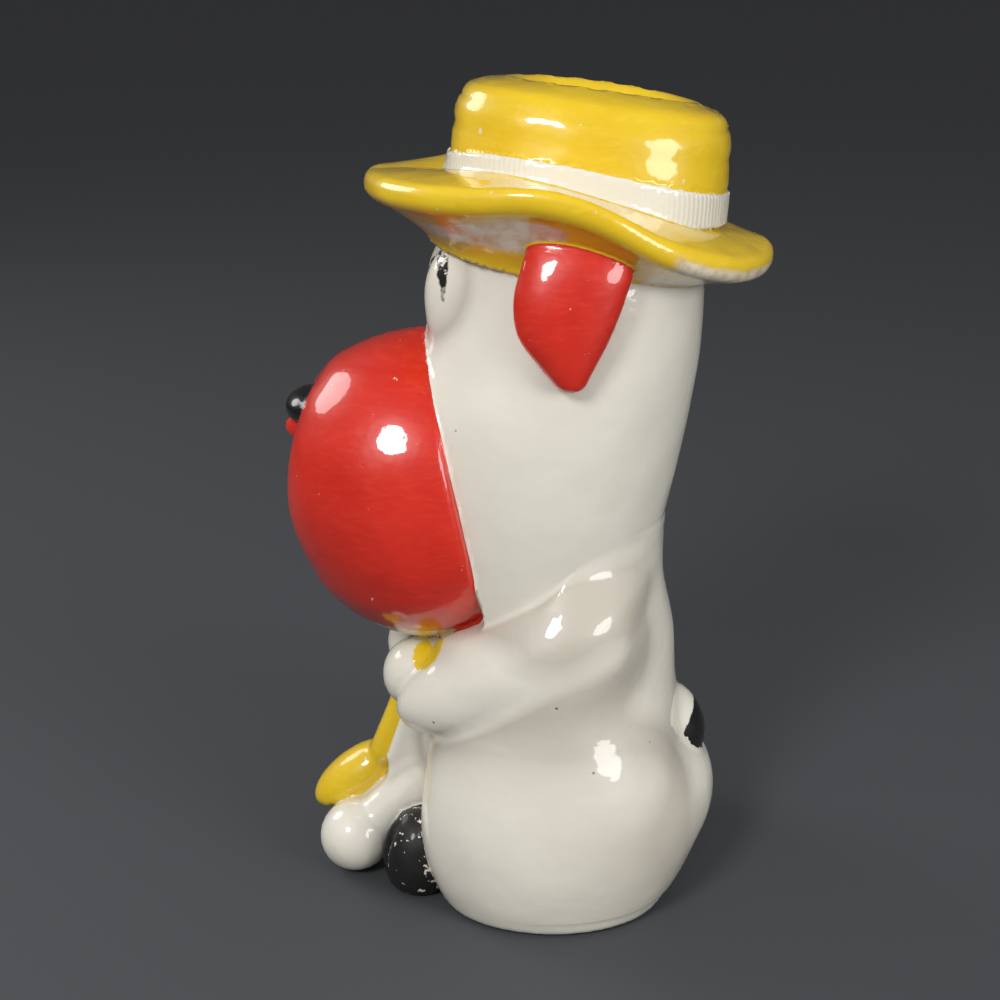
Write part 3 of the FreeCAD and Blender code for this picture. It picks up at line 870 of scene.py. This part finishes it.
def hand_edge(tree, place, distance, wander, start, full):
    """An area by the distance from it, its edge wandering as a hand-held brush does."""
    blotches = add(tree, "ShaderNodeTexNoise", {"Vector": place, **uneven(*EDGE_BLOTCHES)})[0]
    waver = add(tree, "ShaderNodeMath", {0: blotches, 1: wander, 2: -wander / 2},
                operation="MULTIPLY_ADD")[0]
    edge = add(tree, "ShaderNodeMath", {0: distance, 1: waver}, operation="ADD")[0]
    return add(tree, "ShaderNodeMapRange",
               {"Value": edge, "From Min": start, "From Max": full})[0]


def worn(tree, place, patch):
    """What handling has left of a patch: blotches with the first coat between them."""
    blotches = add(tree, "ShaderNodeTexNoise", {"Vector": place, **uneven(*WEAR_BLOTCHES)})[0]
    kept = add(tree, "ShaderNodeMapRange",
               {"Value": blotches, "From Min": 0.585, "From Max": 0.565})[0]
    return add(tree, "ShaderNodeMath", {0: patch, 1: kept}, operation="MULTIPLY")[0]


def chipped(tree, place, border, chips):
    """Chips and rubbed spots, mostly within 5 mm of where the paint ends."""
    blotches = add(tree, "ShaderNodeTexNoise", {"Vector": place, **uneven(*CHIP_BLOTCHES)})[0]
    near_end = add(tree, "ShaderNodeMapRange",
                   {"Value": border, "From Min": 5.0, "From Max": 0.3,
                    "To Max": 0.07 * chips})[0]
    rubbed = add(tree, "ShaderNodeMath", {0: blotches, 1: near_end}, operation="ADD")[0]
    start = 0.72 - 0.09 * chips
    return add(tree, "ShaderNodeMapRange",
               {"Value": rubbed, "From Min": start, "From Max": start + 0.015})[0]


def stained_chalk(tree, place):
    """Bare chalk that old lacquer has turned tan in blotches."""
    blotches = add(tree, "ShaderNodeTexNoise", {"Vector": place, **uneven(*STAIN_BLOTCHES)})[0]
    clean = add(tree, "ShaderNodeMapRange",
                {"Value": blotches, "From Min": 0.35, "From Max": 0.6})[0]
    return add(tree, "ShaderNodeMix", {0: clean, 6: STAINED_CHALK, 7: CLEAN_CHALK},
               data_type="RGBA")[2]


def enamel(name, look):
    """Brushed oil enamel over a sealed plaster casting, under brushed clear lacquer.

    The plaster gives soft dents and pinholes, the brush gives streaks and thin spots,
    handling gives chips on the edges, and the lacquer gives the wet shine.
    """
    material = bpy.data.materials.new(name)
    material.use_nodes = True
    tree = material.node_tree
    shader = tree.nodes["Principled BSDF"].inputs
    place = add(tree, "ShaderNodeTexCoord", {})["Object"]
    marks = {word: add(tree, "ShaderNodeAttribute", {}, attribute_name=word)["Fac"]
             for word in MARKS}
    strokes = add(tree, "ShaderNodeMapping", {"Vector": place, "Scale": BRUSH_STRETCH})[0]
    brush, flow, grain, dents, swells = [
        add(tree, "ShaderNodeTexNoise",
            {"Vector": strokes if word == "brush" else place, **uneven(*sizes)})[0]
        for word, sizes in PATTERNS.items()]
    pit = pinholes(tree, place, look["pits"])

    # Where the coats and marks lie, in the order in which they came: the paint, its second
    # colour, the chalk that shows through, then painted shade in the creases and the pinholes
    thick = add(tree, "ShaderNodeMapRange",
                {"Value": flow, "From Min": 0.35, "From Max": 0.7,
                 "To Max": 0.6 * look["streak"]})[0]
    thin = add(tree, "ShaderNodeMapRange",
               {"Value": brush, "From Min": 0.5, "From Max": 0.75,
                "To Max": 0.55 * look["streak"]})[0]
    coats = [(thick, look["thick"]), (thin, look["thin"])]
    rises = [(brush, BRUSH_HEIGHT * look["streak"]), (grain, GRAIN_HEIGHT), (pit, -PIT_DEPTH)]
    if "patch" in look:
        patch = hand_edge(tree, place, marks["patch"], **PATCH_EDGE)
        if look.get("worn"):
            patch = worn(tree, place, patch)
        coats.append((patch, look["patch"]))
        rises.append((patch, PATCH_HEIGHT))
    if look["chips"]:
        coats.append((chipped(tree, place, marks["border"], look["chips"]), CHALK))
    if look.get("missed"):
        coats.append((hand_edge(tree, place, marks["bare"], **MISSED_EDGE),
                      stained_chalk(tree, place)))
    # Painted shade: the paint turns towards brown the deeper the skin lies in a crease
    crease_shade = add(tree, "ShaderNodeMapRange",
                {"Value": marks["crease"], "From Min": 0.25, "From Max": 2.0,
                 "To Max": 0.35})[0]
    # Painted shade: the pinholes are coloured dark for the shade inside them
    pit_painted_shade = add(tree, "ShaderNodeMath", {0: pit, 1: 0.8}, operation="MULTIPLY")[0]
    coats += [(crease_shade, CREASE_SHADE), (pit_painted_shade, PIT_SHADE)]
    shade = look["colour"]
    for amount, coat in coats:
        shade = add(tree, "ShaderNodeMix", {0: amount, 6: shade, 7: coat}, data_type="RGBA")[2]

    # The lacquer lies level over the brush marks and follows only the plaster's waves
    if look.get("pleated"):
        rises.append((pleats(tree, place), PLEATS["height"]))
    low_waves = add(tree, "ShaderNodeMath", {0: dents, 1: DENT_HEIGHT},
                    operation="MULTIPLY")[0]
    waves = add(tree, "ShaderNodeMath", {0: swells, 1: SWELL_HEIGHT, 2: low_waves},
                operation="MULTIPLY_ADD")[0]
    height = waves
    for pattern, rise in rises:
        height = add(tree, "ShaderNodeMath", {0: pattern, 1: rise, 2: height},
                     operation="MULTIPLY_ADD")[0]
    paint_relief, lacquer_relief = [
        add(tree, "ShaderNodeBump", {"Height": level, "Strength": RELIEF, "Distance": MM})[0]
        for level in (height, waves)]
    gloss = add(tree, "ShaderNodeMath",
                {0: brush, 1: GLOSS_SPREAD, 2: look["rough"] - GLOSS_SPREAD / 2},
                operation="MULTIPLY_ADD")[0]
    for word, socket in {"Base Color": shade, "Roughness": gloss, "Normal": paint_relief,
                         "Coat Normal": lacquer_relief}.items():
        tree.links.new(socket, shader[word])
    for word, value in {"IOR": VARNISH_IOR, "Coat IOR": VARNISH_IOR,
                        "Coat Weight": look["lacquer"],
                        "Coat Roughness": LACQUER_ROUGHNESS}.items():
        shader[word].default_value = value
    return material


def dress(pieces):
    """Gives every piece its material and its body, and hides the node's own part."""
    record_slots = {part["node"]: part["material_slot"] for part in frame["record"]["subparts"]}
    finishes = {name: enamel(name, look) for name, look in ENAMELS.items()}
    for node, piece in pieces.items():
        slot = record_slots[node]
        piece.data.materials.append(finishes[NODE_ENAMELS.get(node, SLOT_ENAMELS[slot])])
        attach(piece, "root")
        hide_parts(node)


# The photograph's view and its lamps, in metres
CAMERA_PLACE = (0.520, -0.00735, 0.322)
CAMERA_DIP = math.radians(19.433)
LENS = 57.574
FILM_WIDTH = 36
NEAREST_SEEN = 0.01
LAMPS = {
    "key": dict(place=(0.9, -0.5, 0.9), size=0.35, power=8),
    "fill": dict(place=(0.8, 0.9, 0.5), size=0.6, power=6.5),
    "back": dict(place=(-0.5, -1.0, 0.8), size=0.6, power=4),
}
LAMP_AIM = (0, 0, 0.15)
FLOOR_HALF = 15.0
FLOOR_PAPER = "#46484c"
FLOOR_ROUGHNESS = 0.7

# The world's strength as a light, and as a backdrop seen straight or in the lacquer
WORLD_LIGHT = 0.5
WORLD_SEEN = 0.05


def set_camera():
    """The photograph's view: level with the hat, close by, looking down at the base."""
    camera = bpy.data.objects.new("camera", bpy.data.cameras.new("camera"))
    camera.data.lens = LENS
    camera.data.sensor_width = FILM_WIDTH
    camera.data.clip_start = NEAREST_SEEN
    level, down = math.cos(CAMERA_DIP), math.sin(CAMERA_DIP)
    x, y, z = CAMERA_PLACE
    camera.matrix_world = Matrix(((0, -down, level, x), (1, 0, 0, y), (0, level, down, z),
                                  (0, 0, 0, 1)))
    bpy.context.scene.collection.objects.link(camera)
    bpy.context.scene.camera = camera


def set_floor():
    """A wide floor of dark, dull paper."""
    half = FLOOR_HALF
    mesh = bpy.data.meshes.new("floor")
    mesh.from_pydata([(-half, -half, 0), (half, -half, 0), (half, half, 0), (-half, half, 0)],
                     [], [(0, 1, 2, 3)])
    floor = bpy.data.objects.new("floor", mesh)
    bpy.context.scene.collection.objects.link(floor)
    material = bpy.data.materials.new("floor_paper")
    material.use_nodes = True
    shader = material.node_tree.nodes["Principled BSDF"].inputs
    shader["Base Color"].default_value = linear(FLOOR_PAPER)
    shader["Roughness"].default_value = FLOOR_ROUGHNESS
    mesh.materials.append(material)


def set_world():
    """A soft white light from all round that itself shows as dark as the floor."""
    world = bpy.data.worlds.new("studio")
    bpy.context.scene.world = world
    world.use_nodes = True
    tree = world.node_tree
    ray = add(tree, "ShaderNodeLightPath", {})
    seen = ray["Is Camera Ray"]
    for word in ("Is Glossy Ray", "Is Transmission Ray"):
        seen = add(tree, "ShaderNodeMath", {0: seen, 1: ray[word]}, operation="MAXIMUM")[0]
    strength = add(tree, "ShaderNodeMapRange",
                   {"Value": seen, "To Min": WORLD_LIGHT, "To Max": WORLD_SEEN})[0]
    backdrop = tree.nodes["Background"].inputs
    backdrop["Color"].default_value = linear("#ffffff")
    tree.links.new(strength, backdrop["Strength"])


def set_lamps():
    """Soft round lamps, all aimed at the middle of the figure."""
    for name, sizes in LAMPS.items():
        lamp = bpy.data.objects.new(name, bpy.data.lights.new(name, "AREA"))
        lamp.data.shape = "DISK"
        lamp.data.size = sizes["size"]
        lamp.data.energy = sizes["power"]
        lamp.location = sizes["place"]
        back = Vector(sizes["place"]) - Vector(LAMP_AIM)
        lamp.rotation_euler = back.to_track_quat("Z", "Y").to_euler()
        bpy.context.scene.collection.objects.link(lamp)


bpy.context.scene.view_settings.view_transform = "Standard"
set_camera()
set_floor()
set_world()
set_lamps()
dress(build_pieces())
